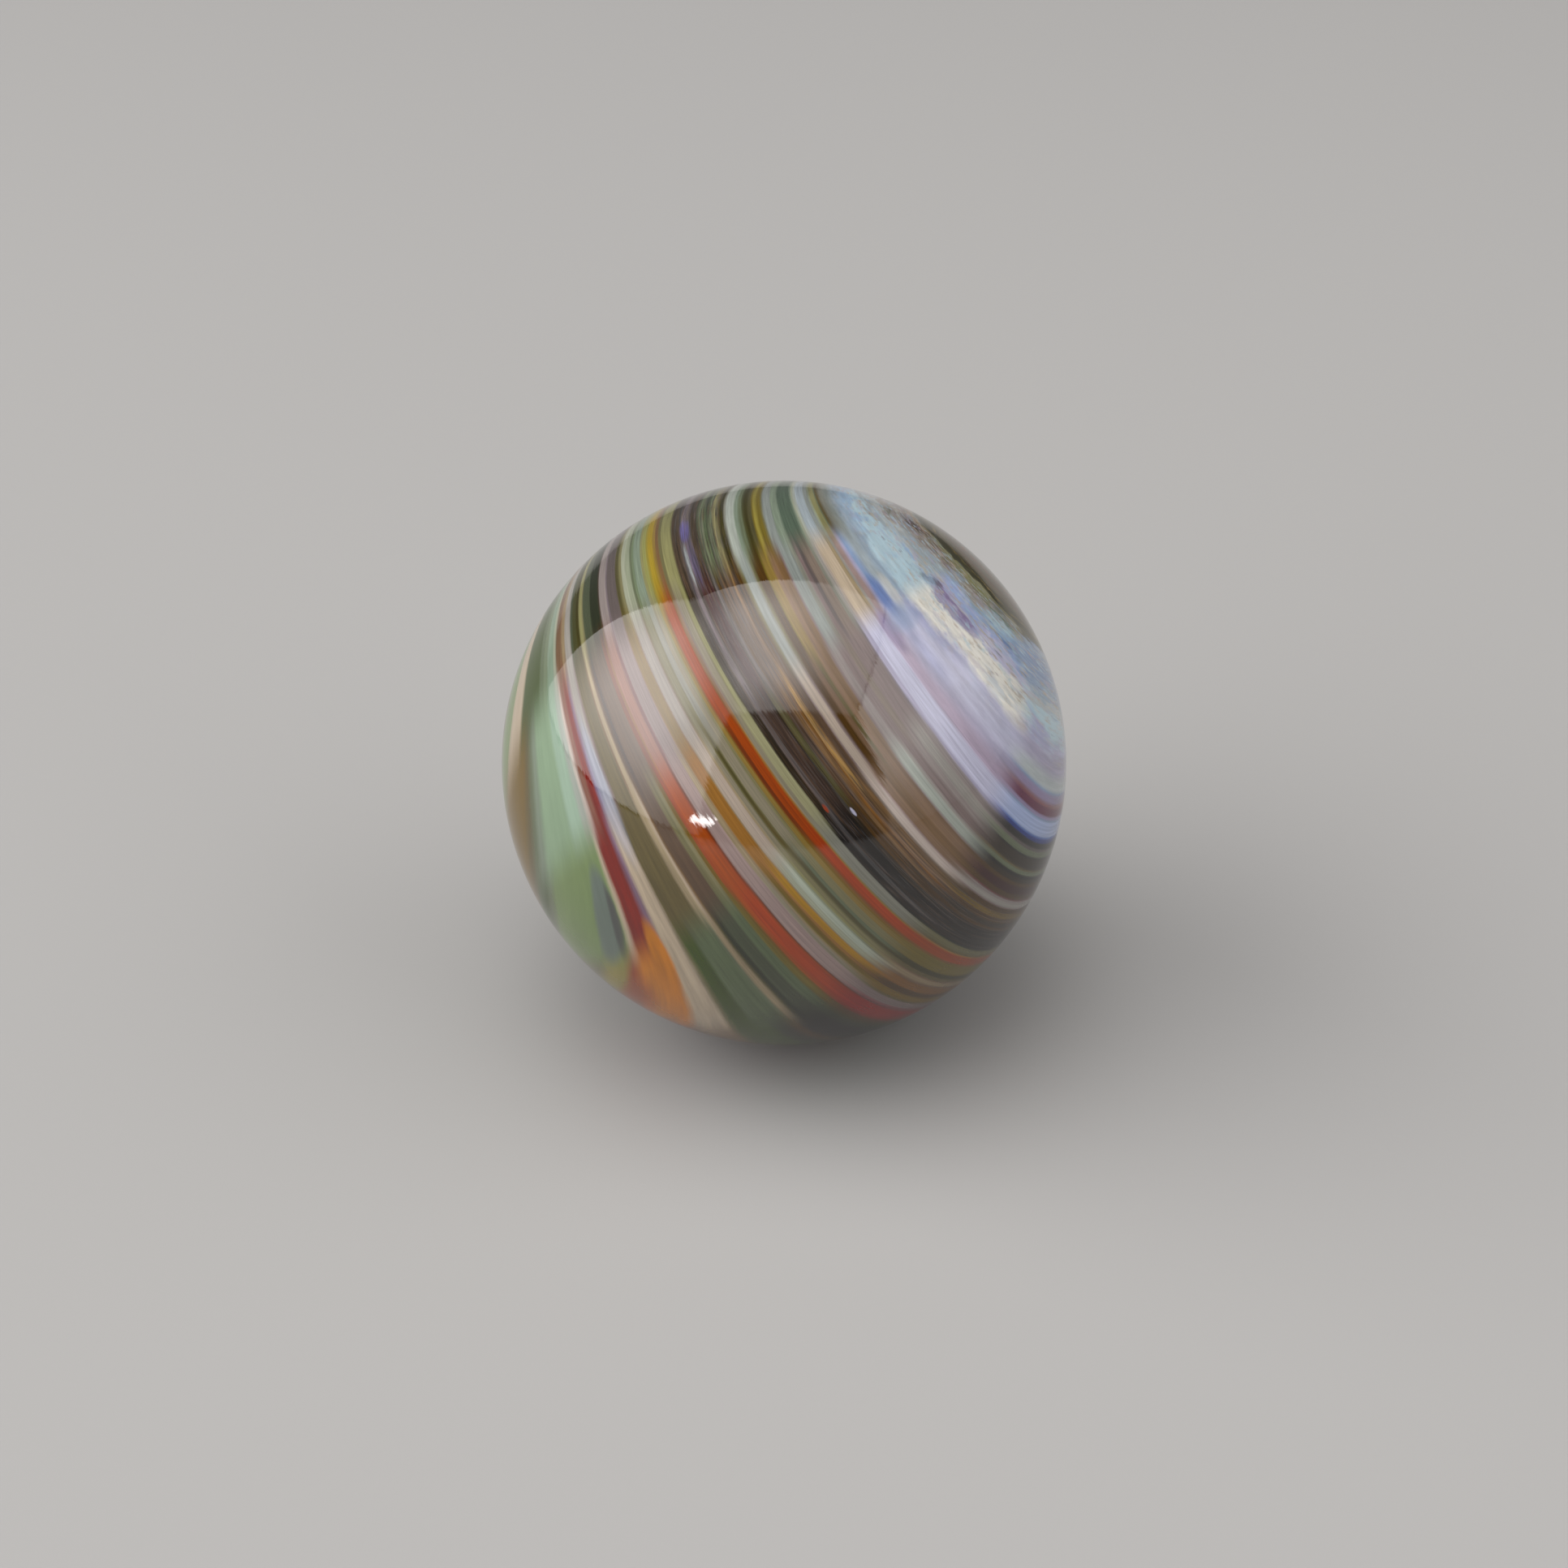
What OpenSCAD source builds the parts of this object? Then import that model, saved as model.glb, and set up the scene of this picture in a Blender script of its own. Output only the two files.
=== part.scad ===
// Glass marble: one ball of many coloured glasses, drawn into ribbons,
// gathered at both poles, twisted once and melted flush in the flame.
// Millimetres, +Z up, origin at the centre of the ball.

/* [Ball] */
// Diameter of the finished ball, measured across any of its faces
ball_d = 28; // [12:0.5:60]

/* [Hidden] */

// Only names the sides of the drawn mesh. The ball itself is a true sphere.
ball_sides = 180;

// The whole marble. The ribbons are fused with the glass under them, so they
// are colour inside one solid and have no edge or step of their own.
module marble() {
    color("darkseagreen") sphere(d = ball_d, $fn = ball_sides);
}

marble();
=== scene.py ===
# %% [markdown]
# # A swirled glass marble
# The ball is solid glass, 28 mm across. A glassworker lays rods of many colours side by side on a
# hot gather, draws them down to a point at both ends, twists the bundle once and rounds it in the
# flame. So the marble is one piece: the ribbons are colour in the glass, not parts of their own.
# This lesson models the ball, wires its swirl as a material, and puts it on a plain pale floor.

# %% Load the fixed frame
import math

import bpy
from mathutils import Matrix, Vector


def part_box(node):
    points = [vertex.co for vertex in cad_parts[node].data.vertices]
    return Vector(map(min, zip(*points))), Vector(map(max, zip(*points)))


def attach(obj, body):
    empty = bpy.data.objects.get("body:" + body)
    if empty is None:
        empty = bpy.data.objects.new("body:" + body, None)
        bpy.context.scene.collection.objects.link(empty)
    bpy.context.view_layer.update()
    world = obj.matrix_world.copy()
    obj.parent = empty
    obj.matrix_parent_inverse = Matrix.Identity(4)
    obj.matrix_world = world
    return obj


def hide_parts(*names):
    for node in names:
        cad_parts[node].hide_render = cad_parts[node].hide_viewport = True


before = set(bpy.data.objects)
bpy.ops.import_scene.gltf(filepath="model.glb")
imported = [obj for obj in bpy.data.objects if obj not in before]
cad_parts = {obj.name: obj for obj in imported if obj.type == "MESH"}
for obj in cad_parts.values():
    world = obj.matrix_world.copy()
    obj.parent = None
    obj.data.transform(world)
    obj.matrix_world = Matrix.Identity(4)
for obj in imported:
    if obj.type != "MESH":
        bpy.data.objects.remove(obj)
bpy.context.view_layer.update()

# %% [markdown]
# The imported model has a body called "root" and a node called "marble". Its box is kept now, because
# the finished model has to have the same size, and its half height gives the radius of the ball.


MM = 1000
low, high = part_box("marble")
radius = (high.z - low.z) / 2
floor_height = low.z
print("ball radius in mm:", round(radius * MM, 3))

# %% [markdown]
# ## The ball
# A real marble is turned in the flame until surface tension makes it round. Here a cube is
# subdivided and blown up to a sphere, because its six patches of squares have no pinched
# poles, as a globe's would have. The Cast modifier then sets each point at the exact radius.

# %% Blow a cube up to a ball
CUTS = 95

bpy.ops.object.select_all(action="DESELECT")
bpy.ops.mesh.primitive_cube_add(size=2 * radius, location=(0, 0, 0))
ball = bpy.context.object
ball.name = "glass_marble"
bpy.ops.object.mode_set(mode="EDIT")
bpy.ops.mesh.select_all(action="SELECT")
bpy.ops.mesh.subdivide(number_cuts=CUTS)
bpy.ops.transform.tosphere(value=1.0)
bpy.ops.object.mode_set(mode="OBJECT")

# %% True the radius
cast = ball.modifiers.new("true radius", "CAST")
cast.cast_type = "SPHERE"
cast.factor = 1.0
cast.use_radius_as_size = False
cast.size = radius
bpy.ops.object.modifier_apply(modifier=cast.name)
bpy.ops.object.shade_smooth()
reach = [vertex.co.length for vertex in ball.data.vertices]
print("squares:", len(ball.data.polygons))
print("radius in mm, least and most:", round(min(reach) * MM, 4), round(max(reach) * MM, 4))

# %% [markdown]
# ## Wiring by hand
# A Blender material is a tree of nodes joined by wires. These helpers add a node, plug numbers,
# colours or other sockets into it, and hand back the socket that comes out, so that a formula can
# be written nearly as on paper.

# %% Feed a socket
def feed(tree, socket, source):
    """Wires a socket to another, or sets it to a plain number or colour."""
    if isinstance(source, bpy.types.NodeSocket):
        tree.links.new(source, socket)
    else:
        socket.default_value = source


# %% Sums on numbers and vectors
def number(tree, operation, *sources):
    """A Math node: one sum on plain numbers."""
    made = tree.nodes.new("ShaderNodeMath")
    made.operation = operation
    for socket, source in zip(made.inputs, sources):
        feed(tree, socket, source)
    return made.outputs[0]


def vector(tree, operation, *sources):
    """A Vector Math node. Lengths and dot products come out as one number."""
    made = tree.nodes.new("ShaderNodeVectorMath")
    made.operation = operation
    for socket, source in zip(made.inputs, sources):
        feed(tree, socket, source)
    single = operation in ("LENGTH", "DOT_PRODUCT")
    return made.outputs["Value" if single else "Vector"]


def join(tree, x, y, z):
    """Three numbers as one vector."""
    made = tree.nodes.new("ShaderNodeCombineXYZ")
    for socket, source in zip(made.inputs, (x, y, z)):
        feed(tree, socket, source)
    return made.outputs[0]


# %% Mixed colours and soft steps
def blend(tree, share, first, second, mode="MIX"):
    """Mixes two colours: share 0 gives the first and 1 the second."""
    made = tree.nodes.new("ShaderNodeMix")
    made.data_type = "RGBA"
    made.blend_type = mode
    for name, source in (("Factor_Float", share), ("A_Color", first), ("B_Color", second)):
        feed(tree, next(s for s in made.inputs if s.identifier == name), source)
    return next(s for s in made.outputs if s.identifier == "Result_Color")


def ease(tree, amount, start, stop, low=0.0, high=1.0):
    """A smooth step: low before start, high after stop."""
    made = tree.nodes.new("ShaderNodeMapRange")
    made.interpolation_type = "SMOOTHSTEP"
    for socket, source in zip(made.inputs, (amount, start, stop, low, high)):
        feed(tree, socket, source)
    return made.outputs[0]


# %% [markdown]
# A node group is a small tree with named inputs and outputs that other trees can hold as one node.
# The swirl, the strokes and the grain are each a group, so that each is wired once and can be tried
# by itself.

# %% Node groups
def new_group(name, takes, gives):
    """A shader node group with named inputs and outputs, and its two end nodes."""
    tree = bpy.data.node_groups.new(name, "ShaderNodeTree")
    for side, sockets in (("INPUT", takes), ("OUTPUT", gives)):
        for label, kind in sockets.items():
            tree.interface.new_socket(name=label, in_out=side, socket_type="NodeSocket" + kind)
    return tree, tree.nodes.new("NodeGroupInput").outputs, tree.nodes.new("NodeGroupOutput").inputs


def use_group(tree, group, **inputs):
    """Places a group in a tree and returns its outputs."""
    made = tree.nodes.new("ShaderNodeGroup")
    made.node_tree = group
    for name, source in inputs.items():
        feed(tree, made.inputs[name], source)
    return made.outputs

# %% [markdown]
# ## The swirl
# Two points on the ball say how the bundle was drawn: the gather, where all ribbons start, and the
# close, where they end. A climb is measured on the way from one to the other: it is low beside the
# gather and high beside the close. Each spot on the ball then gets three numbers.
# - Lane counts the ribbons, in hundredths of a turn. A twist that grows with the climb lays the
#   ribbons aslant, as a wrist does when it turns the rod.
# - Along and Across say which way round the axis the spot lies, so along a ribbon the pair changes
#   and the lane doesn't.

# %% Where the bundle was drawn
gather = Vector((-0.74, 0.17, -0.66)).normalized()
close = Vector((0.71, 0.28, 0.65)).normalized()
axis = (close - gather).normalized()


def square_to_axis(direction):
    """The part of a direction that lies square to the drawing axis, one long."""
    direction = Vector(direction)
    return (direction - direction.dot(axis) * axis).normalized()


sideways = square_to_axis((0.39, -0.85, -0.36))
lengthways = square_to_axis((0.63, -0.41, -0.66))
print("drawing axis:", [round(part, 3) for part in axis])

# %% [markdown]
# The twist has three parts. The main one is made near the middle of the way and dies out on both
# sides, so a hyperbolic tangent draws it. The second is the curl beside the close, where the ribbons
# wind tighter and tighter: it stays near nothing until it starts, and then grows at an even rate.
# The last is a slight drift, even all the way.

# %% How far the bundle is twisted
LANES = 100
SWEEP = 0.96
NEAREST = 0.001
TURN_HEIGHT, TURN_MIDDLE, TURN_WIDTH = 0.6, 0.16, 0.34
CURL_HEIGHT, CURL_START, CURL_WIDTH = 0.5, 0.94, 0.2
DRIFT = 0.05


# %% The twist as nodes
def make_swirl():
    """The group that gives each spot on the ball its place in the swirl."""
    gives = dict.fromkeys(("Lane", "Along", "Across"), "Float")
    tree, take, give = new_group("swirl lanes", dict(Place="Vector"), gives)
    spot = vector(tree, "MULTIPLY", take["Place"], [1 / radius] * 3)
    from_gather = vector(tree, "SUBTRACT", spot, gather)
    from_close = vector(tree, "SUBTRACT", spot, close)
    near = number(tree, "MAXIMUM", vector(tree, "LENGTH", from_gather), NEAREST)
    far = number(tree, "MAXIMUM", vector(tree, "LENGTH", from_close), NEAREST)
    climb = number(tree, "LOGARITHM", number(tree, "DIVIDE", near, far), math.e)
    off_axis = vector(tree, "LENGTH", vector(tree, "CROSS_PRODUCT", from_gather, axis))
    off_axis = number(tree, "MAXIMUM", off_axis, NEAREST)
    across = number(tree, "DIVIDE", vector(tree, "DOT_PRODUCT", from_gather, sideways), off_axis)
    along = number(tree, "DIVIDE", vector(tree, "DOT_PRODUCT", from_gather, lengthways), off_axis)
    swept = number(tree, "ARCSINE", number(tree, "MULTIPLY", across, SWEEP))
    turned = number(tree, "SUBTRACT", climb, TURN_MIDDLE)
    turned = number(tree, "TANH", number(tree, "DIVIDE", turned, TURN_WIDTH))
    curled = number(tree, "DIVIDE", number(tree, "SUBTRACT", climb, CURL_START), CURL_WIDTH)
    curled = number(tree, "ADD", number(tree, "EXPONENT", curled), 1.0)
    curled = number(tree, "LOGARITHM", curled, math.e)
    lane = number(tree, "DIVIDE", swept, math.tau)
    lane = number(tree, "MULTIPLY_ADD", turned, TURN_HEIGHT, lane)
    lane = number(tree, "MULTIPLY_ADD", curled, CURL_HEIGHT, lane)
    lane = number(tree, "MULTIPLY_ADD", climb, DRIFT, lane)
    lane = number(tree, "ADD", lane, TURN_HEIGHT)
    feed(tree, give["Lane"], number(tree, "MULTIPLY", lane, LANES))
    feed(tree, give["Along"], along)
    feed(tree, give["Across"], across)
    return tree


swirl_group = make_swirl()
print("swirl nodes:", len(swirl_group.nodes))

# %% [markdown]
# ## The glasses
# A glassworker's rack holds rods of many glasses. Each glass has a name and the colour it shows, as red,
# green and blue from 0 to 255, as a paint program gives them. Blender's nodes take linear light, so
# a helper bends those numbers first.

# %% The rack of glasses
RACK = dict(
    ink=(12, 6, 2), sable=(36, 26, 10), earth=(52, 38, 30), cocoa=(54, 44, 32), walnut=(74, 56, 40),
    umber=(62, 40, 2), bottle=(46, 42, 4), pine=(32, 36, 20), leaf=(46, 62, 6), moss=(58, 64, 46),
    fern=(74, 86, 60), willow=(84, 92, 70), spruce=(68, 82, 68), sage=(92, 104, 80),
    meadow=(98, 116, 74), celadon=(110, 126, 108), jade=(120, 126, 106), mint=(116, 138, 112),
    foam=(130, 152, 134), seaglass=(104, 116, 100), glacier=(114, 120, 116), pearl=(134, 138, 120),
    moonstone=(138, 144, 136), frost=(146, 154, 140), olive=(56, 56, 26), heath=(66, 62, 34),
    lichen=(80, 70, 38), reed=(90, 86, 56), khaki=(104, 100, 70), lime=(114, 112, 74),
    limestone=(126, 124, 94), stone=(114, 108, 90), straw=(118, 118, 68), mustard=(120, 110, 44),
    gold=(134, 114, 32), brass=(114, 94, 42), bronze=(94, 72, 2), antique=(92, 80, 20),
    honey=(128, 88, 34), amber=(142, 104, 0), sunset=(164, 98, 0), caramel=(138, 108, 60),
    toffee=(98, 74, 46), clay=(94, 72, 52), fawn=(108, 84, 62), tan=(122, 106, 80), oat=(132, 118, 92),
    cream=(156, 142, 122), chalk=(146, 134, 122), linen=(164, 152, 144), peach=(158, 144, 124),
    copper=(104, 68, 20), brick=(90, 38, 4), rust=(126, 50, 0), ember=(136, 58, 0), flame=(140, 48, 0),
    crimson=(118, 10, 0), oxblood=(104, 14, 0), garnet=(46, 10, 10), claret=(84, 44, 44),
    rose=(112, 72, 58), maroon=(78, 8, 48), plum=(108, 62, 66), smoke=(78, 70, 68), slate=(58, 56, 56),
    dusk=(98, 88, 92), mauve=(104, 90, 88), taupe=(106, 94, 84), heather=(118, 109, 106),
    blush=(132, 114, 110), ash=(130, 126, 120), fog=(108, 108, 98), haze=(152, 160, 162),
    ivory=(170, 170, 164), milk=(202, 200, 192), violet=(106, 82, 100), heliotrope=(122, 110, 142),
    orchid=(150, 136, 156), lilac=(142, 138, 160), iris=(144, 146, 174), wisteria=(168, 168, 190),
    mist=(136, 146, 151), steel=(128, 144, 158), sky=(134, 158, 182), aqua=(154, 176, 186),
    denim=(112, 130, 158), cornflower=(140, 154, 188), royal=(68, 94, 152), navy=(6, 34, 104),
    eye=(84, 94, 90), pebble=(114, 108, 101), indigo=(82, 76, 128),
)

print("glasses on the rack:", len(RACK))


# %% Screen levels as linear light
TOP_LEVEL = 255


def linear(level):
    """One screen level as linear light, by the sRGB rule."""
    level = level / TOP_LEVEL
    return level / 12.92 if level <= 0.04045 else ((level + 0.055) / 1.055) ** 2.4


def glass(name):
    """A glass from the rack, as a node colour."""
    return [linear(level) for level in RACK[name]] + [1.0]


print("cream in linear light:", [round(part, 3) for part in glass("cream")[:3]])

# %% [markdown]
# ## The recipe
# A maker notes a bundle as a list of rods. This one is read at five places, from the crown down to
# the foot, because a ribbon can change its glass on the way. Each list gives the lane where a ribbon
# starts and the glass that it shows there. Named glasses in plain lists can be read and changed like
# a recipe, which a painted picture can't.
#
# Round the gather the bundle was pinched off, so its ribbons close up to thin rings. They go all the
# way round and are the same in all five lists.

# %% Rings round the gather
GATHER = (
    (-40, "olive"), (-32, "brick"), (-31.4, "moss"), (-30.4, "cream"), (-30, "fern"), (-28.8, "bronze"),
    (-28.2, "celadon"), (-27, "walnut"), (-26.2, "oat"), (-25.7, "spruce"), (-24.4, "copper"),
    (-23.9, "lichen"), (-22.8, "pearl"), (-22.4, "fern"), (-21.2, "ember"), (-20.7, "reed"),
)

# %% [markdown]
# The close is the other end. The last rods are dark olive and brown there, with a fine bright line
# now and then, and they wind up to a bull's eye.

# %% Rings round the close
CLOSE = (
    (344, "bottle"), (364, "brass"), (369, "bottle"), (382, "umber"), (390, "reed"), (396, "bottle"),
    (410, "toffee"), (418, "umber"), (442, "walnut"), (458, "olive"), (490, "rust"), (500, "umber"),
    (550, "reed"), (570, "bottle"), (640, "toffee"), (670, "umber"), (760, "antique"), (800, "bottle"),
)

# %% [markdown]
# The glasses at the crown are deep: bottle green, olive and brown,
# with one gold ribbon, pale seaglass lines and the start of the sky blue opal.

# %% Ribbons at the crown
CROWN = GATHER + (
    (-19.8, "moss"), (-18, "sage"), (-16.8, "pine"), (-16, "sage"), (-14.8, "oat"), (-14.4, "moss"),
    (-13, "cream"), (-11, "meadow"), (-9, "spruce"), (-8.2, "celadon"), (-6.4, "toffee"),
    (-5.8, "meadow"), (-2.5, "cream"), (0.4, "leaf"), (5.8, "fern"), (7.3, "sage"), (8.8, "celadon"),
    (11.2, "pearl"), (12.3, "clay"), (14.2, "fawn"), (15, "tan"), (16.6, "ash"), (19.5, "moss"),
    (20.8, "olive"), (22.8, "bottle"), (24.5, "lime"), (26.4, "khaki"), (27.1, "moss"), (31.6, "pine"),
    (37.2, "cocoa"), (38, "heather"), (42.7, "dusk"), (43.7, "smoke"), (50, "heath"), (52.2, "reed"),
    (53, "khaki"), (54.5, "pearl"), (57.4, "jade"), (60.6, "willow"), (62.2, "sage"),
    (63.5, "seaglass"), (68.3, "lime"), (69.8, "straw"), (72.3, "mustard"), (73.6, "gold"),
    (76.8, "brass"), (78.5, "toffee"), (80.6, "reed"), (82.4, "lime"), (87.9, "reed"), (88.6, "cocoa"),
    (92.6, "slate"), (93.6, "smoke"), (94.5, "dusk"), (96.4, "smoke"), (98.5, "cocoa"), (101.5, "moss"),
    (102.4, "willow"), (104.5, "fern"), (105.5, "moss"), (106.6, "willow"), (108, "khaki"),
    (110.1, "heath"), (111, "bottle"), (112.6, "fog"), (113.4, "moonstone"), (116.4, "seaglass"),
    (117.8, "willow"), (119.2, "olive"), (120, "bottle"), (121.3, "heath"), (122.6, "antique"),
    (123.2, "mustard"), (124.4, "antique"), (126, "reed"), (126.7, "glacier"), (129.8, "seaglass"),
    (132.7, "spruce"), (138.9, "seaglass"), (139.8, "pearl"), (140.8, "moonstone"), (142, "mist"),
    (146.8, "glacier"), (149.5, "jade"), (150.8, "lime"), (154.2, "willow"), (155, "lichen"),
    (157.6, "fog"), (162, "glacier"), (168, "steel"), (178, "sky"), (186, "aqua"), (200, "mist"),
    (214, "haze"), (238, "ash"), (250, "fog"), (258, "ash"), (268, "heather"), (279, "smoke"),
    (286, "walnut"), (296, "fawn"), (310, "tan"), (318, "khaki"), (324, "bottle"),
) + CLOSE

# %% [markdown]
# At the shoulder the mint drop begins beside a thin red ribbon. The gold ribbon turns to rust, and
# the rods between them are pale and warm.

# %% Ribbons at the shoulder
SHOULDER = GATHER + (
    (-19.8, "tan"), (-18, "cocoa"), (-17, "tan"), (-15, "walnut"), (-14.4, "tan"), (-13, "cream"),
    (-11, "meadow"), (-5, "bronze"), (1.6, "lichen"), (2.4, "willow"), (3.2, "seaglass"), (4.2, "mint"),
    (8.4, "foam"), (10.7, "moonstone"), (12.1, "linen"), (12.9, "rose"), (14.2, "oxblood"),
    (15.7, "violet"), (16.5, "heather"), (17.1, "ash"), (19.2, "mauve"), (19.9, "lichen"),
    (24.3, "toffee"), (24.8, "oat"), (26.3, "walnut"), (27.2, "earth"), (28.6, "walnut"),
    (34.8, "brick"), (36.6, "copper"), (37.4, "rose"), (41.6, "claret"), (43.1, "mauve"),
    (49.5, "toffee"), (50.1, "bronze"), (54.8, "toffee"), (55.4, "pebble"), (60.5, "taupe"),
    (61.2, "lichen"), (62.2, "reed"), (66, "fog"), (69, "stone"), (71.4, "khaki"), (72.6, "brass"),
    (74, "copper"), (75, "rust"), (80.1, "copper"), (80.8, "fawn"), (82, "taupe"), (83, "stone"),
    (85.8, "khaki"), (86.4, "lime"), (88.3, "bottle"), (88.9, "sable"), (92, "smoke"), (92.8, "dusk"),
    (94.2, "smoke"), (94.9, "earth"), (96, "garnet"), (101.2, "cocoa"), (101.8, "smoke"),
    (103.2, "umber"), (104.6, "walnut"), (108.7, "toffee"), (109.8, "umber"), (112.7, "lichen"),
    (113.4, "reed"), (114, "glacier"), (116.8, "fog"), (117.4, "reed"), (118.2, "umber"),
    (120.9, "antique"), (121.4, "brass"), (123.8, "fawn"), (125.3, "toffee"), (127.6, "mauve"),
    (128.2, "glacier"), (131.6, "fog"), (133, "mauve"), (134.3, "smoke"), (135.6, "taupe"),
    (138.8, "fog"), (140.2, "ash"), (141.4, "chalk"), (142.4, "peach"), (147.6, "oat"), (149.4, "ash"),
    (150.8, "blush"), (154, "lilac"), (156, "denim"), (160, "mist"), (168, "steel"), (176, "aqua"),
    (214, "sky"), (222, "haze"), (230, "mist"), (256, "ash"), (266, "heather"), (278, "stone"),
    (290, "taupe"), (300, "khaki"), (318, "lime"), (328, "heath"), (334, "bottle"),
) + CLOSE

# %% [markdown]
# Round the waist the glasses are at their clearest. Red and amber ribbons cross it between
# cream lines, the dark ribbons lie in the middle, and the opal is lilac and milk.

# %% Ribbons round the waist
WAIST = GATHER + (
    (-19.8, "tan"), (-18, "cocoa"), (-17, "tan"), (-15, "walnut"), (-14.4, "tan"), (-13, "cream"),
    (-11, "meadow"), (-5, "toffee"), (2.3, "leaf"), (4.2, "willow"), (4.9, "meadow"), (11.8, "cream"),
    (12.4, "oxblood"), (15, "violet"), (15.9, "cream"), (18.5, "lichen"), (24.2, "oat"),
    (25.8, "cream"), (26.4, "toffee"), (27, "walnut"), (31.4, "reed"), (33, "khaki"), (34.2, "bronze"),
    (35.6, "rust"), (36.6, "ember"), (41, "rust"), (41.6, "brick"), (42.4, "blush"), (47.6, "oat"),
    (49.4, "tan"), (50.2, "honey"), (55.6, "tan"), (56.2, "chalk"), (61, "oat"), (62, "stone"),
    (64.2, "reed"), (64.8, "lichen"), (66.2, "reed"), (66.8, "stone"), (71.4, "khaki"), (72.8, "brass"),
    (74.8, "copper"), (75.4, "brick"), (77, "rust"), (81.2, "honey"), (82, "stone"),
    (84.4, "limestone"), (88.7, "sable"), (91.7, "smoke"), (93.9, "earth"), (99.2, "sable"),
    (100.1, "heath"), (102.8, "walnut"), (105.4, "toffee"), (107.6, "copper"), (108.4, "caramel"),
    (110.2, "toffee"), (110.9, "walnut"), (113.4, "mauve"), (113.9, "chalk"), (117.1, "mauve"),
    (117.8, "walnut"), (118.3, "umber"), (120.2, "clay"), (121.9, "lichen"), (123.2, "fawn"),
    (124.6, "toffee"), (126.8, "mauve"), (127.6, "heather"), (130, "mauve"), (132.4, "taupe"),
    (134.4, "mauve"), (139.6, "dusk"), (140.4, "lilac"), (142, "wisteria"), (148, "orchid"),
    (152.8, "lilac"), (156, "iris"), (162, "wisteria"), (168, "iris"), (176, "milk"), (198, "lilac"),
    (208, "heliotrope"), (217, "iris"), (232, "cornflower"), (250, "steel"), (266, "ash"),
    (280, "stone"), (296, "lime"), (326, "limestone"), (336, "reed"),
) + CLOSE

# %% [markdown]
# At the hip the drop comes to its tip and the thin red ribbon opens into amber. Dark green rods come
# in beside it, and the opal turns from milk to blue.

# %% Ribbons at the hip
HIP = GATHER + (
    (-19.8, "walnut"), (-18, "cocoa"), (-17, "tan"), (-16, "walnut"), (-13, "cream"), (-11, "walnut"),
    (-5, "bronze"), (5, "reed"), (9.5, "mustard"), (11.4, "rust"), (12.2, "sunset"), (15.7, "cream"),
    (18.2, "reed"), (18.7, "leaf"), (20.7, "fern"), (24.9, "willow"), (25.5, "oat"), (26.7, "heath"),
    (27.3, "pine"), (28.2, "moss"), (31.6, "fern"), (34.3, "antique"), (35.8, "bronze"),
    (36.6, "ember"), (37.8, "flame"), (41.7, "rust"), (42.3, "brick"), (42.8, "blush"), (47.8, "stone"),
    (49.6, "tan"), (50.3, "antique"), (51, "bronze"), (52.4, "honey"), (53.6, "amber"), (56.1, "tan"),
    (56.7, "pearl"), (58.9, "frost"), (61.4, "jade"), (62.3, "lime"), (63.4, "khaki"), (64.9, "reed"),
    (65.7, "heath"), (67.4, "willow"), (69, "khaki"), (72.6, "brass"), (74.8, "bronze"),
    (75.6, "copper"), (76.8, "rust"), (77.8, "flame"), (81.2, "ember"), (81.7, "brass"), (82.5, "fog"),
    (87.7, "ink"), (91, "slate"), (93, "ink"), (98.7, "sable"), (100.6, "umber"), (104.7, "toffee"),
    (106.4, "copper"), (107.7, "fawn"), (109.4, "toffee"), (112.2, "taupe"), (113, "linen"),
    (116, "blush"), (116.6, "fawn"), (119.3, "toffee"), (122.4, "fawn"), (125.2, "clay"),
    (126.2, "heather"), (126.8, "moonstone"), (130, "ash"), (131, "mauve"), (133.6, "heather"),
    (135.6, "ash"), (138.6, "heather"), (140.7, "lilac"), (141.6, "wisteria"), (148, "orchid"),
    (153.6, "lilac"), (158, "wisteria"), (176, "milk"), (204, "wisteria"), (226, "cornflower"),
    (236, "steel"), (248, "sky"), (266, "aqua"), (278, "mist"), (287, "seaglass"), (298, "fog"),
    (326, "khaki"), (336, "reed"),
) + CLOSE
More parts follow.
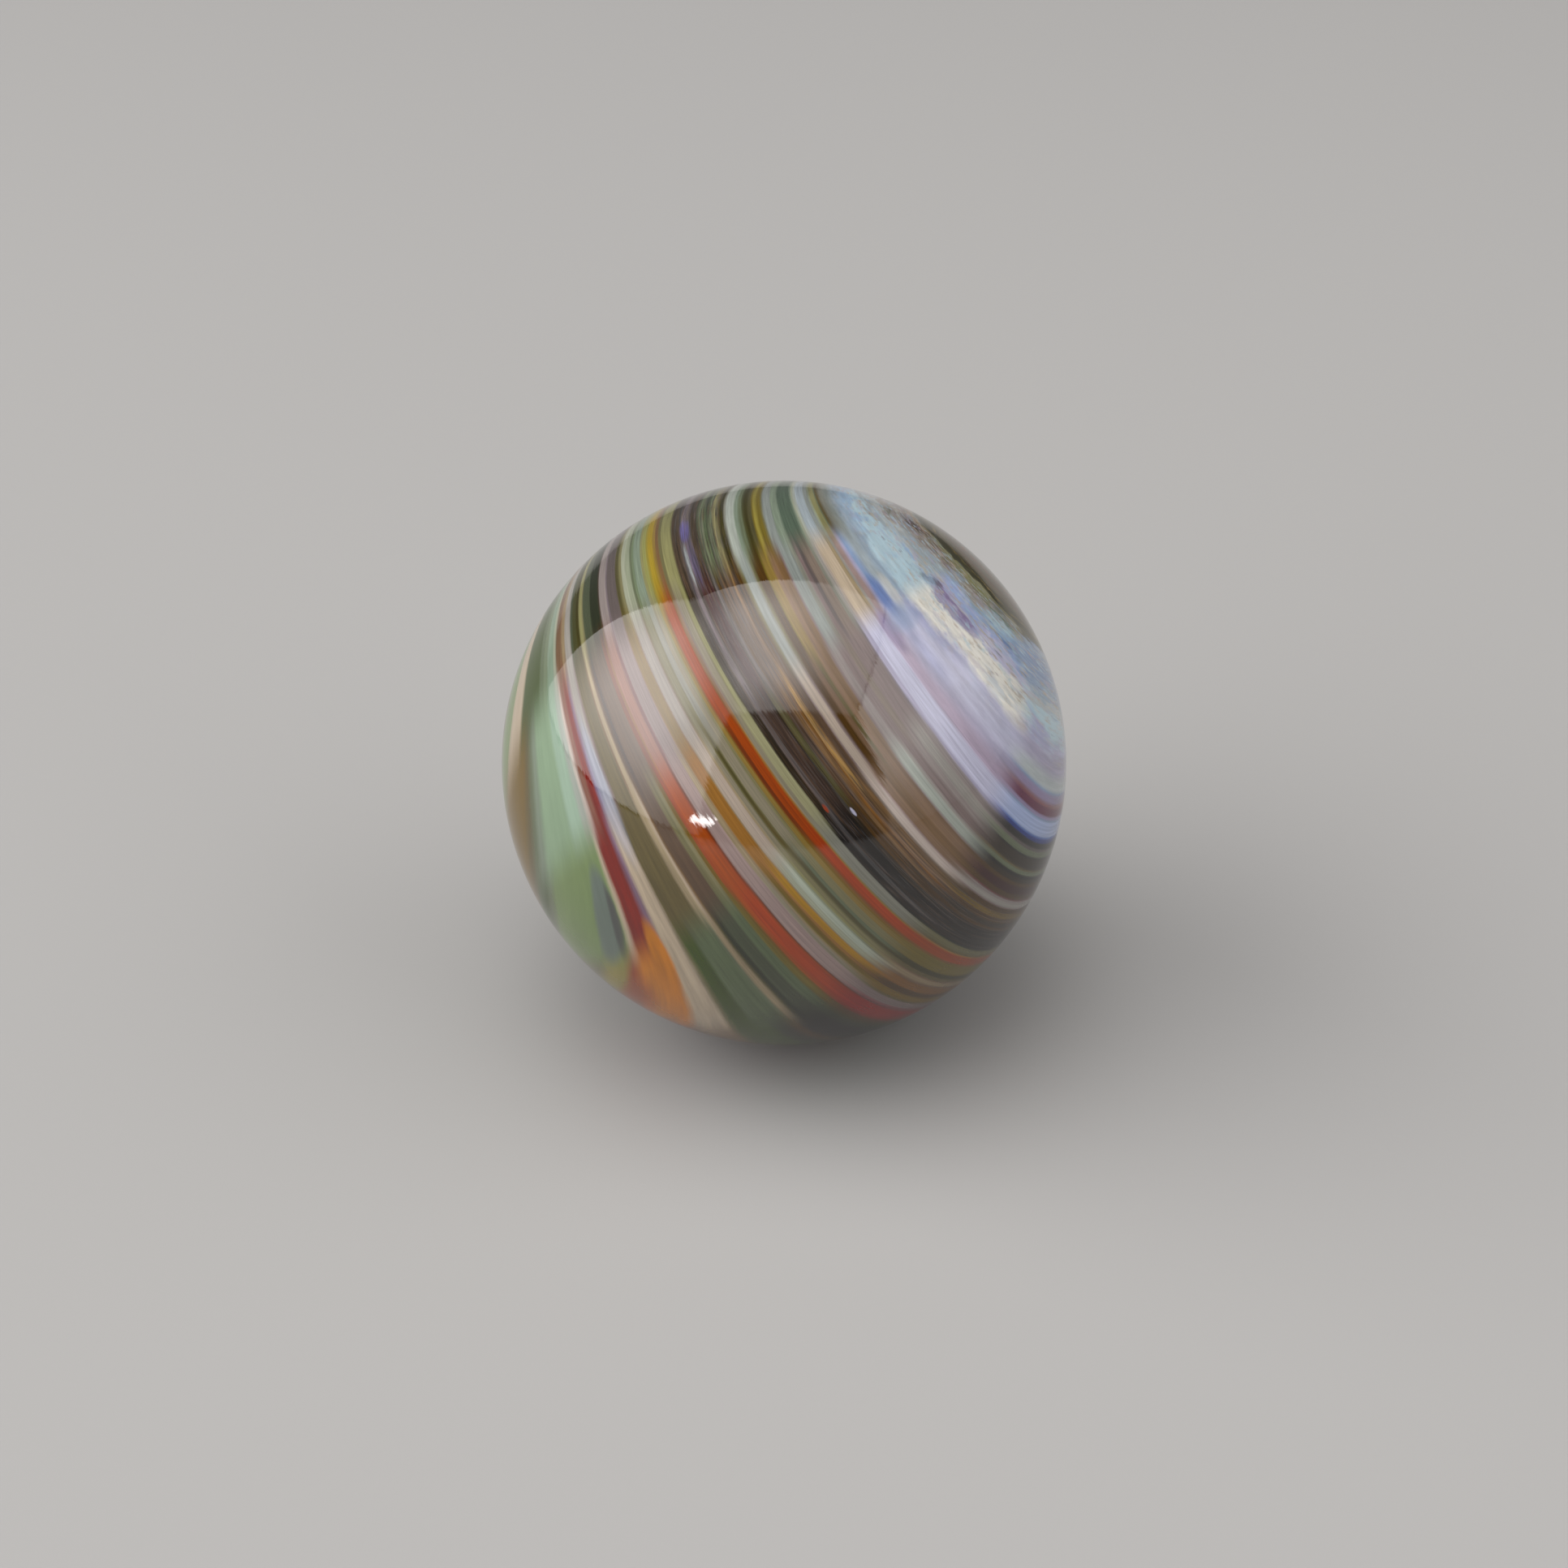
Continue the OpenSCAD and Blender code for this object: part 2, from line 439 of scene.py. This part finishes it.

# %% [markdown]
# At the foot all ribbons crowd together and are dark again: pine, ink and umber, with the two red
# ribbons still running through them and a blue line below the opal. Part of that darkness is painted
# shade: the glasses in this list are set darker than the glass is, for the dim light low on the ball.

# %% Ribbons at the foot
# The foot's glasses are partly painted shade: darker than the glass, for the dim light under the ball.
FOOT_WITH_PAINTED_SHADE = GATHER + (
    (-19.8, "moss"), (-18, "rust"), (-17, "umber"), (-15, "fern"), (-13, "tan"), (-12, "pine"),
    (-9, "oat"), (-8.4, "moss"), (-6, "sage"), (-4.6, "umber"), (-3, "bronze"), (-2, "umber"),
    (0, "cocoa"), (4.5, "olive"), (9, "lichen"), (12.2, "brick"), (16, "toffee"), (18.6, "leaf"),
    (22.3, "pine"), (23.7, "sable"), (24.5, "umber"), (25.8, "ink"), (31, "pine"), (33, "bottle"),
    (34.2, "umber"), (36.2, "oxblood"), (37.4, "crimson"), (42.4, "claret"), (43.2, "plum"),
    (44.2, "mauve"), (47.6, "lichen"), (48.6, "bronze"), (51.8, "umber"), (54.8, "copper"),
    (59.2, "clay"), (60.4, "tan"), (63.2, "clay"), (64, "lichen"), (66, "bottle"), (69, "antique"),
    (76, "copper"), (77.3, "rust"), (82.3, "honey"), (83.2, "lichen"), (84.5, "reed"), (87.9, "pine"),
    (88.6, "ink"), (101.4, "umber"), (103.5, "sable"), (106.2, "umber"), (108.9, "bronze"),
    (111.6, "umber"), (114.2, "mauve"), (114.9, "ash"), (117.2, "heather"), (118.5, "claret"),
    (119.3, "umber"), (121.5, "garnet"), (124.8, "umber"), (126.4, "sable"), (128.2, "ink"),
    (129.6, "willow"), (131.2, "lichen"), (131.9, "sable"), (135.8, "ink"), (136.5, "willow"),
    (138.4, "smoke"), (139.3, "ink"), (141.4, "navy"), (142.7, "royal"), (143.3, "cornflower"),
    (148.2, "denim"), (149, "heliotrope"), (150.1, "maroon"), (153, "plum"), (154.2, "violet"),
    (155, "heliotrope"), (158, "denim"), (159.2, "haze"), (166, "lilac"), (178, "iris"), (186, "aqua"),
    (208, "haze"), (222, "steel"), (236, "denim"), (306, "steel"), (317, "denim"), (324, "heath"),
) + CLOSE
print("ribbons from crown to foot:", [len(recipe) for recipe in (CROWN, SHOULDER, WAIST, HIP, FOOT_WITH_PAINTED_SHADE)])

# %% [markdown]
# ## Ribbons as colour ramps
# A Color Ramp node turns a number into a colour. Two stops close together make the edge between two
# glasses: a crisp one between pulled rods, and a wide one in the milky lanes, where the glasses have
# run into each other. Beside a thin ribbon both edges get narrower, so that it keeps its colour.

# %% Edges of the ribbons
SHARP, MELTED = 0.35, 3.0
OPAL_START = 152
NEARLY_HALF = 0.48
PAST_ALL = 999


def edge_stops(recipe):
    """Two stops for each edge of a recipe, one on either side of it."""
    stops = [recipe[0]]
    followers = recipe[2:] + ((PAST_ALL, ""),)
    for (last, before), (edge, after), (coming, _) in zip(recipe, recipe[1:], followers):
        soft = SHARP if edge < OPAL_START else MELTED
        soft = min(soft, NEARLY_HALF * (edge - last), NEARLY_HALF * (coming - edge))
        stops += [(edge - soft, before), (edge + soft, after)]
    return stops


print("colour stops at the waist:", len(edge_stops(WAIST)))

# %% [markdown]
# One ramp holds 32 stops, which is too few. So the list is cut into stretches with a ramp for each,
# and every ramp takes over from the one before where its own stretch starts.

# %% One ramp for a stretch
def stretch_colour(tree, lane, stops):
    """A colour ramp over the lanes from the first stop to the last."""
    start, stop = stops[0][0], stops[-1][0]
    place = tree.nodes.new("ShaderNodeMapRange")
    for socket, source in zip(place.inputs, (lane, start, stop)):
        feed(tree, socket, source)
    ramp = tree.nodes.new("ShaderNodeValToRGB")
    feed(tree, ramp.inputs[0], place.outputs[0])
    marks = ramp.color_ramp.elements
    marks[0].color = glass(stops[0][1])
    marks[1].color = glass(stops[-1][1])
    for edge, name in stops[1:-1]:
        marks.new((edge - start) / (stop - start)).color = glass(name)
    return ramp.outputs["Color"]


# %% All the ribbons of a list
STOPS_A_RAMP = 30


def ribbon_colours(tree, lane, recipe):
    """Colour ramps that lay a recipe's ribbons side by side."""
    stops = edge_stops(recipe)
    colour = stretch_colour(tree, lane, stops[:STOPS_A_RAMP + 1])
    for first in range(STOPS_A_RAMP, len(stops) - 1, STOPS_A_RAMP):
        stretch = stops[first:first + STOPS_A_RAMP + 1]
        passed = number(tree, "GREATER_THAN", lane, stretch[0][0])
        colour = blend(tree, passed, colour, stretch_colour(tree, lane, stretch))
    return colour

# %% [markdown]
# ## Strokes
# Some colours lie in one place only: the grey eye in the green drop, the amber in the thin red
# ribbon, a touch of indigo near the crown, and blue clouds in the opal. On a real marble these are
# dabs of glass that were laid on the bundle before it was drawn. Two more strokes are painted glints:
# a red and a violet spark of light in the dark ribbons. One group draws such a dab as a soft oval
# along its ribbon.

# %% A stroke along a ribbon
def make_stroke():
    """A soft oval mask round one place in the swirl. Width and Length are half of the whole."""
    names = ("Lane", "Along", "Middle", "Width", "Centre", "Length", "Softness")
    tree, take, give = new_group("stroke on a ribbon", dict.fromkeys(names, "Float"), dict(Mask="Float"))
    wide = number(tree, "DIVIDE", number(tree, "SUBTRACT", take["Lane"], take["Middle"]), take["Width"])
    long = number(tree, "DIVIDE", number(tree, "SUBTRACT", take["Along"], take["Centre"]), take["Length"])
    reach = number(tree, "ADD", number(tree, "MULTIPLY", wide, wide), number(tree, "MULTIPLY", long, long))
    inner = number(tree, "SUBTRACT", 1.0, take["Softness"])
    outer = number(tree, "ADD", 1.0, take["Softness"])
    feed(tree, give["Mask"], ease(tree, reach, inner, outer, 1.0, 0.0))
    return tree


stroke_group = make_stroke()

# %% [markdown]
# Each stroke has its glass, the lane of its middle, half its width in lanes, the place of its centre
# along the ribbon, half its length, its softness and its strength.

# %% The strokes
STROKES = (
    ("eye", 10.3, 1.2, 0.12, 0.15, 0.5, 0.9),
    ("slate", 11.2, 0.45, 0.15, 0.11, 0.8, 0.8),
    ("cornflower", 17.6, 1.6, -0.18, 0.2, 0.8, 0.35),
    ("sunset", 15.0, 1.1, 0.32, 0.13, 0.5, 1.0),
    ("rust", 12.0, 1.3, 0.56, 0.2, 0.8, 0.8),
    ("olive", 65.6, 0.9, 0.02, 0.12, 0.9, 0.6),
    ("indigo", 95.5, 2.4, -0.745, 0.05, 0.8, 0.8),
    ("haze", 94.4, 0.9, -0.6, 0.08, 0.8, 0.6),
    ("indigo", 97.0, 1.6, -0.6, 0.1, 0.8, 0.3),
    ("cornflower", 161.0, 6.5, -0.12, 0.12, 0.9, 0.6),
    ("royal", 158.5, 3.4, -0.17, 0.1, 0.9, 0.6),
    ("ivory", 166.0, 4.0, -0.16, 0.1, 0.9, 0.7),
    ("heliotrope", 150.5, 3.0, -0.02, 0.09, 0.9, 0.8),
    ("denim", 163.0, 12.0, -0.04, 0.06, 0.9, 0.5),
    ("smoke", 213.0, 8.0, -0.12, 0.07, 0.9, 0.6),
    ("royal", 240.0, 9.0, 0.46, 0.08, 0.9, 0.5),
    ("denim", 262.0, 26.0, 0.66, 0.12, 0.9, 0.8),
    # The last two strokes are painted glints: a red and a violet spark of light, painted as tiny dabs of
    # colour.
    ("flame", 91.8, 0.7, 0.247, 0.014, 0.5, 1.0),
    ("wisteria", 100.6, 0.7, 0.306, 0.014, 0.5, 0.8),
)
print("strokes:", len(STROKES))

# %% [markdown]
# ## Grain
# Pulled glass is never quite even. Bubbles and streaks are drawn out with the rod into fine lines,
# so the grain is noise that changes fast across the ribbons and slowly along them. Fine and Long say
# how often it changes each way, and Seed picks a fresh piece of noise.

# %% Grain along the ribbons
GRAIN_DETAIL, GRAIN_ROUGHNESS = 4.0, 0.6


def make_grain():
    """Noise drawn out along the ribbons. It is 0.5 on the whole."""
    names = ("Thread", "Across", "Along", "Fine", "Long", "Seed")
    tree, take, give = new_group("drawn grain", dict.fromkeys(names, "Float"), dict(Grain="Float"))
    x = number(tree, "MULTIPLY_ADD", take["Thread"], take["Fine"], take["Seed"])
    y = number(tree, "MULTIPLY", take["Across"], take["Long"])
    z = number(tree, "MULTIPLY", take["Along"], take["Long"])
    noise = tree.nodes.new("ShaderNodeTexNoise")
    feed(tree, noise.inputs["Vector"], join(tree, x, y, z))
    noise.inputs["Scale"].default_value = 1.0
    noise.inputs["Detail"].default_value = GRAIN_DETAIL
    noise.inputs["Roughness"].default_value = GRAIN_ROUGHNESS
    feed(tree, give["Grain"], noise.outputs[0])
    return tree


grain_group = make_grain()

# %% [markdown]
# ## The marble's material
# The whole ball is one material. It starts from Object coordinates, which stay with the ball
# wherever it rolls, and the swirl group turns them into lanes.

# %% Start the material
skin = bpy.data.materials.new("swirl glass")
skin.use_nodes = True
wires = skin.node_tree
shader = wires.nodes["Principled BSDF"]
place = wires.nodes.new("ShaderNodeTexCoord").outputs["Object"]
swirl = use_group(wires, swirl_group, Place=place)
counted = swirl["Lane"]
along = swirl["Along"]

# %% [markdown]
# In the opal the lanes wind so tightly that grain drawn by lane would turn to hairs. So past a
# certain lane the grain's thread runs on at a small share of the lanes' rate. Each use of grain
# below is a named trio: how fine it is across, how often it changes along, and its seed.

# %% Grain for this marble
THREAD_TURN, SQUEEZE = 150, 0.15
beyond = number(wires, "MAXIMUM", number(wires, "SUBTRACT", counted, THREAD_TURN), 0.0)
thread = number(wires, "MULTIPLY_ADD", beyond, SQUEEZE, number(wires, "MINIMUM", counted, THREAD_TURN))


def grain(fine, long, seed):
    """Grain on this marble: fine counts across the ribbons and long along them."""
    made = use_group(wires, grain_group, Thread=thread, Across=swirl["Across"], Along=along,
                     Fine=fine, Long=long, Seed=seed)
    return made["Grain"]


def swinging(fine, long, seed):
    """Grain moved down by a half, so that it swings both ways."""
    return number(wires, "SUBTRACT", grain(fine, long, seed), 0.5)


# %% [markdown]
# The ribbons waver a little, because no hand pulls a rod quite evenly. The opal was stirred as well,
# so there the lanes are pushed about by broad clouds, until the ribbons become patches.

# %% Let the lanes wander
OPAL_FADE_IN = (160, 200)
BROAD_CLOUDS = (0.22, 3.0, 40.0)
SLOW_WAVER = (0.4, 3.0, 0.0)
WANDER, STIR = 0.8, 80.0
FIRST_LANE = 0.6
opal = ease(wires, counted, *OPAL_FADE_IN)
drift = number(wires, "MULTIPLY", swinging(*BROAD_CLOUDS), number(wires, "MULTIPLY", opal, STIR))
lane = number(wires, "SUBTRACT", number(wires, "ADD", counted, drift), FIRST_LANE)
lane = number(wires, "MULTIPLY_ADD", swinging(*SLOW_WAVER), WANDER, lane)

# %% [markdown]
# The five lists are laid over one another. Each fades in over a short stretch of the way down, so
# that one passes softly into the next.

# %% Lay the ribbons
READINGS = ((SHOULDER, -0.62, -0.44), (WAIST, -0.18, -0.04), (HIP, 0.2, 0.34), (FOOT_WITH_PAINTED_SHADE, 0.58, 0.74))
colour = ribbon_colours(wires, lane, CROWN)
for recipe, start, stop in READINGS:
    below = ease(wires, along, start, stop)
    colour = blend(wires, below, colour, ribbon_colours(wires, lane, recipe))

# %% [markdown]
# The strokes lie over the ribbons, each mixed in by its own mask. They read the wandering lane too,
# so they stay on their ribbons.

# %% Lay the strokes
for name, middle, width, centre, length, softness, strength in STROKES:
    stroke = use_group(wires, stroke_group, Lane=lane, Along=along, Middle=middle, Width=width,
                       Centre=centre, Length=length, Softness=softness)
    share = number(wires, "MULTIPLY", stroke["Mask"], strength)
    colour = blend(wires, share, colour, glass(name))
print("nodes so far:", len(wires.nodes))

# %% [markdown]
# Opal glass is milky and breaks up into clouds of blue, cream and pink. Each cloud is grain cut off
# at a level, which leaves patches with soft rims. The broad ones come first and the small ones lie
# over them. Each has its glass, its grain, the level where it starts and its strength.

# %% Milky patches
OPAL_FADE_OUT = (300, 345)
RIM = 0.14
milky = number(wires, "MULTIPLY", opal, ease(wires, counted, *OPAL_FADE_OUT, 1.0, 0.0))
PATCHES = (
    ("sky", 11.0, 0.8, 5.0, 0.52, 0.5),
    ("ivory", 23.0, 0.8, 5.0, 0.52, 0.5),
    ("orchid", 31.0, 0.8, 5.0, 0.54, 0.5),
    ("aqua", 43.0, 1.1, 9.0, 0.54, 0.65),
    ("cream", 49.0, 1.1, 9.0, 0.54, 0.65),
    ("dusk", 57.0, 1.2, 10.0, 0.6, 0.5),
)
for name, seed, fine, long, start, strength in PATCHES:
    patch = ease(wires, grain(fine, long, seed), start, start + RIM)
    patch = number(wires, "MULTIPLY", patch, number(wires, "MULTIPLY", milky, strength))
    colour = blend(wires, patch, colour, glass(name))

# %% [markdown]
# The dark ribbons in the middle are the most worked. Smoke, walnut and slate are smeared into each
# other there, so the same trick is used on those lanes alone. Each smudge has its glass, its seed
# and its strength.

# %% Smudges in the dark ribbons
GNARL_START, GNARL_STOP = (88.5, 90), (112, 114)
SMEAR_FINE, SMEAR_LONG = 1.1, 5.0
SMEAR_START, SMEAR_STOP = 0.5, 0.66
gnarl = ease(wires, counted, *GNARL_STOP, 1.0, 0.0)
gnarl = number(wires, "MULTIPLY", ease(wires, counted, *GNARL_START), gnarl)
SMUDGES = (("smoke", 71.0, 0.45), ("walnut", 83.0, 0.5), ("slate", 77.0, 0.5))
for name, seed, strength in SMUDGES:
    smudge = ease(wires, grain(SMEAR_FINE, SMEAR_LONG, seed), SMEAR_START, SMEAR_STOP)
    smudge = number(wires, "MULTIPLY", smudge, number(wires, "MULTIPLY", gnarl, strength))
    colour = blend(wires, smudge, colour, glass(name))

# %% [markdown]
# Last comes light and shade. A streak with more bubbles is paler and one with less is darker, so the
# colour is multiplied by grain round one. The swing is small in the clean green drop, wide in the
# dark ribbons, and small again in the opal, which has clouds enough.

# %% Lighter and darker streaks
CLEAN_STOP = (12, 13)
GATHER_STOP = (-14, -11)
CLEAN_SWING, RIBBON_SWING, GATHER_SWING = 0.15, 0.5, 0.35
GNARL_SWING, OPAL_SWING = 0.9, -0.25
STREAKS = (1.4, 4.0, 5.0)
TWICE = 2.0
DARKEST = 0.15
swing = ease(wires, counted, *CLEAN_STOP, CLEAN_SWING, RIBBON_SWING)
swing = number(wires, "MULTIPLY_ADD", gnarl, GNARL_SWING, swing)
swing = number(wires, "ADD", swing, ease(wires, counted, *GATHER_STOP, GATHER_SWING, 0.0))
swing = number(wires, "MULTIPLY_ADD", opal, OPAL_SWING, swing)
shade = number(wires, "MULTIPLY", swinging(*STREAKS), swing)
shade = number(wires, "MULTIPLY_ADD", shade, TWICE, 1.0)
shade = number(wires, "MAXIMUM", shade, DARKEST)
colour = blend(wires, 1.0, colour, join(wires, shade, shade, shade), "MULTIPLY")
feed(wires, shader.inputs["Base Color"], colour)

# %% [markdown]
# Fire polish leaves glass smooth and glossy. A dense glass has a high index of refraction, which
# gives the strong reflections of a marble. A bump far too low to feel makes the reflections waver.

# %% Polish
POLISH = 0.02
DENSE_GLASS = 1.65
RIPPLE = (0.5, 1.5, 91.0)
RIPPLE_STRENGTH, RIPPLE_DEPTH = 0.15, 0.00003
shader.inputs["Roughness"].default_value = POLISH
shader.inputs["IOR"].default_value = DENSE_GLASS
bump = wires.nodes.new("ShaderNodeBump")
bump.inputs["Strength"].default_value = RIPPLE_STRENGTH
bump.inputs["Distance"].default_value = RIPPLE_DEPTH
feed(wires, bump.inputs["Height"], grain(*RIPPLE))
feed(wires, shader.inputs["Normal"], bump.outputs[0])
ball.data.materials.append(skin)
print("nodes in the marble's material:", len(wires.nodes))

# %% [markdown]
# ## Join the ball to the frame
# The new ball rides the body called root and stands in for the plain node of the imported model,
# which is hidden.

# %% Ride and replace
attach(ball, "root")
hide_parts("marble")

# %% [markdown]
# ## The floor
# A sheet of pale grey paper shows the marble's shadow and lends the glass no colour. It ends just
# short of the side lamps, because the floor behind a lamp gets no light from it and would show as a
# dark band.

# %% Pale floor
FLOOR_SIZE = 1.7
PAPER = (0.34, 0.338, 0.335, 1)
PAPER_ROUGHNESS = 0.9

bpy.ops.mesh.primitive_plane_add(size=FLOOR_SIZE, location=(0, 0, floor_height))
floor = bpy.context.object
floor.name = "floor"
paper = bpy.data.materials.new("pale floor")
paper.use_nodes = True
paper_shader = paper.node_tree.nodes["Principled BSDF"]
paper_shader.inputs["Base Color"].default_value = PAPER
paper_shader.inputs["Roughness"].default_value = PAPER_ROUGHNESS
floor.data.materials.append(paper)

# %% [markdown]
# ## The air
# The world gives a little light from all sides, so that no shadow is quite black. The camera alone
# sees it paler, as a backdrop for the low views, and a Light Path node tells the two apart.

# %% World
AIR_LIGHT = (0.13, 0.133, 0.135, 1)
BACKDROP = (0.5, 0.5, 0.49, 1)

world = bpy.data.worlds.new("studio")
bpy.context.scene.world = world
world.use_nodes = True
air = world.node_tree
seen = air.nodes.new("ShaderNodeLightPath").outputs["Is Camera Ray"]
feed(air, air.nodes["Background"].inputs["Color"], blend(air, seen, AIR_LIGHT, BACKDROP))

# %% [markdown]
# ## The lamps
# A glossy ball shows its lamps as a mirror does, so their shapes matter as much as their light. Three
# are large soft boxes, on the left, overhead and on the right, as in a small studio. The fourth is a
# small strip.

# %% A soft box
ROOM = 0.9
BULB = (1.0, 0.97, 0.95)


def soft_box(name, middle, facing, width, height, glow):
    """A flat lamp of even glow, which is what a mirror would show of it."""
    data = bpy.data.lights.new(name, "AREA")
    data.shape = "RECTANGLE"
    data.size = width
    data.size_y = height
    data.energy = glow * math.pi * width * height
    data.color = BULB
    lamp = bpy.data.objects.new(name, data)
    bpy.context.scene.collection.objects.link(lamp)
    lamp.location = middle
    lamp.rotation_euler = Vector(facing).to_track_quat("-Z", "Y").to_euler()
    lamp.visible_camera = False
    return lamp


def spread(start, stop):
    """Middle and length of a stretch given in room sizes."""
    return (start + stop) / 2 * ROOM, (stop - start) * ROOM


# %% [markdown]
# A real soft box is bright in the middle and fades toward its rim. Here a fade is a side of the box,
# two places along it from 0 to 1, and the glow at each.

# %% Fades on a soft box
def dim(lamp, fades):
    """Dims a soft box by each of its fades in turn."""
    lamp.data.use_nodes = True
    tree = lamp.data.node_tree
    parts = tree.nodes.new("ShaderNodeSeparateXYZ")
    feed(tree, parts.inputs[0], tree.nodes.new("ShaderNodeNewGeometry").outputs["Parametric"])
    glow = 1.0
    for side, start, stop, low, high in fades:
        glow = number(tree, "MULTIPLY", ease(tree, parts.outputs[side], start, stop, low, high), glow)
    feed(tree, tree.nodes["Emission"].inputs["Strength"], glow)


# %% [markdown]
# The left box is the largest of the three and the brightest. Its mirror image is the wide veil over
# the front of the marble, so it starts just above the floor and reaches well above the camera.

# %% Left box
LEFT_GLOW = 4.8
LEFT_FADES = (
    ("X", 0.0, 0.28, 0.45, 1.0), ("X", 0.45, 0.85, 1.0, 0.36),
    ("Y", 0.0, 0.3, 0.4, 1.0), ("Y", 0.42, 0.9, 1.0, 0.42),
)
left_y, left_width = spread(-1.6, 0.6)
left_z, left_height = spread(0.0, 2.0)
left_box = soft_box("left box", (-ROOM, left_y, left_z), (1, 0, 0), left_width, left_height, LEFT_GLOW)
dim(left_box, LEFT_FADES)

# %% [markdown]
# The roof box hangs over the marble and gives the second veil, nearer to the crown.

# %% Roof box
ROOF_GLOW = 3.6
ROOF_FADES = (
    ("X", 0.0, 0.25, 0.4, 1.0), ("X", 0.35, 0.75, 1.0, 0.35),
    ("Y", 0.0, 0.4, 0.4, 1.0), ("Y", 0.75, 1.0, 1.0, 0.6),
)
roof_x, roof_width = spread(-0.5, 0.65)
roof_y, roof_depth = spread(-0.78, 0.33)
roof_box = soft_box("roof box", (roof_x, roof_y, ROOM), (0, 0, -1), roof_width, roof_depth, ROOF_GLOW)
dim(roof_box, ROOF_FADES)

# %% [markdown]
# The right box is the weakest. It lights the side of the opal, and it fades toward two of its sides,
# so that its edge shows less in the glass.

# %% Right box
RIGHT_GLOW = 1.7
RIGHT_FADES = (("Y", 0.0, 0.45, 0.28, 1.0), ("X", 0.7, 1.0, 1.0, 0.2))
right_y, right_width = spread(-1.15, 0.6)
right_z, right_height = spread(-0.015, 1.5)
right_box = soft_box("right box", (ROOM, right_y, right_z), (-1, 0, 0), right_width, right_height, RIGHT_GLOW)
dim(right_box, RIGHT_FADES)

# %% [markdown]
# A small strip of light close to the marble gives the one hard glint on its front.

# %% Sparkle
SPARKLE_GLOW = 18
SPARKLE_WIDTH, SPARKLE_HEIGHT = 0.043, 0.013
sparkle_place = Vector((-0.146, -0.245, 0.032))
soft_box("sparkle", sparkle_place, -sparkle_place, SPARKLE_WIDTH, SPARKLE_HEIGHT, SPARKLE_GLOW)

# %% [markdown]
# ## The camera
# The marble is seen from the front, from rather high up and from close by, so that the top of the
# swirl shows as well as its side.

# %% Camera
CAMERA_HEIGHT = math.radians(32)
CAMERA_DISTANCE = 8.6 * radius
LENS, FILM_WIDTH = 55.4, 36
NEAREST_SEEN = 0.01
TARGET = Vector((0, 0, -0.00123))

data = bpy.data.cameras.new("camera")
data.lens = LENS
data.sensor_width = FILM_WIDTH
data.clip_start = NEAREST_SEEN
camera = bpy.data.objects.new("camera", data)
bpy.context.scene.collection.objects.link(camera)
camera.location = Vector((0, -math.cos(CAMERA_HEIGHT), math.sin(CAMERA_HEIGHT))) * CAMERA_DISTANCE
camera.rotation_euler = (TARGET - camera.location).to_track_quat("-Z", "Y").to_euler()
bpy.context.scene.camera = camera
bpy.context.scene.view_settings.view_transform = "Standard"
print("camera distance in mm:", round(CAMERA_DISTANCE * MM, 1))
